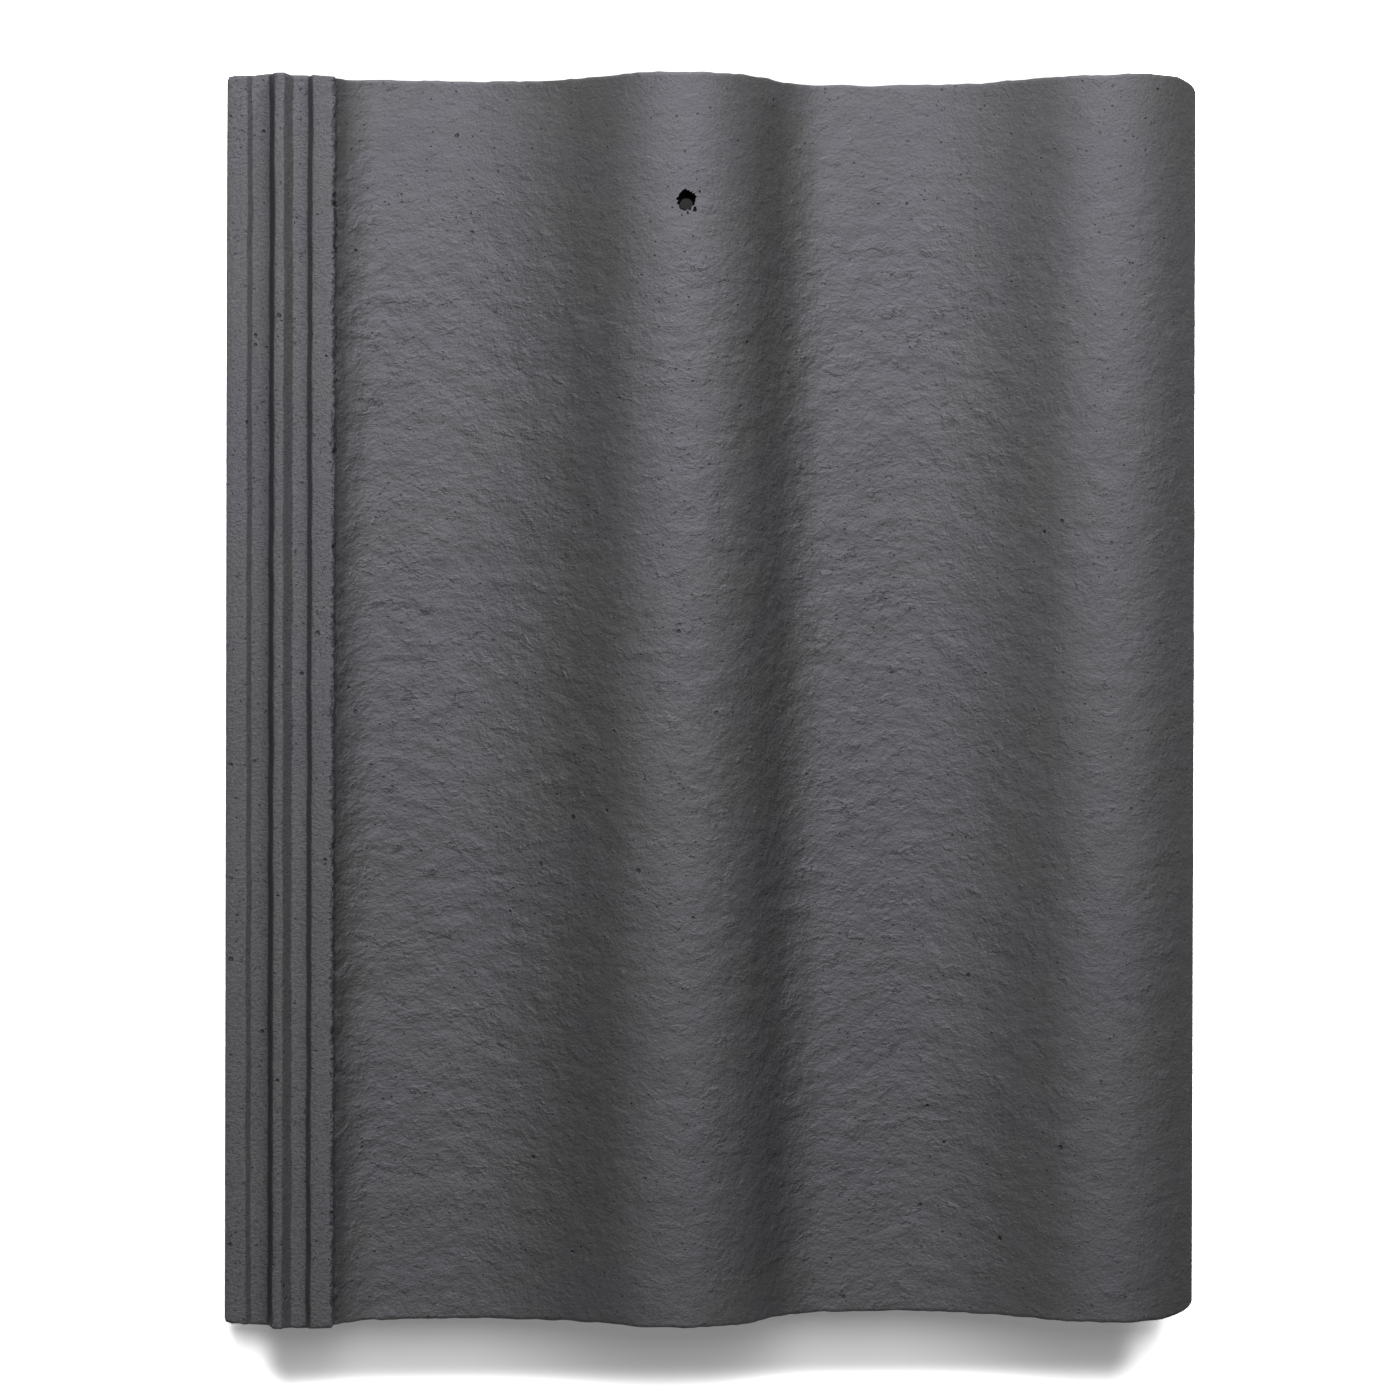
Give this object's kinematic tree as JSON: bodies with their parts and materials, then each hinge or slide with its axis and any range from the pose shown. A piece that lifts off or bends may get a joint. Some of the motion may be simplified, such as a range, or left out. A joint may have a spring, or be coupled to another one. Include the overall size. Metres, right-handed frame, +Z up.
{
  "type": "roof tile",
  "caption": "Interlocking double-roll concrete roof tile with a grooved side lock, a cover roll, hanging nibs, tail ribs and a nail hole near its head.",
  "frame": {"origin": "middle of the floor under the tile's bounding box, with the tile lying face up on its nibs and tail rib", "axes": "+X across the tile from the underlock to the cover roll, +Y up the roof from tail to head, +Z up from the floor"},
  "size_m": [0.33, 0.4238, 0.0584],
  "materials": {
    "coated_concrete": "dark grey satin acrylic-coated concrete, finely wrinkled, with small pores"
  },
  "bodies": {
    "root": {"roof_tile": "coated_concrete"}
  },
  "joints": []
}
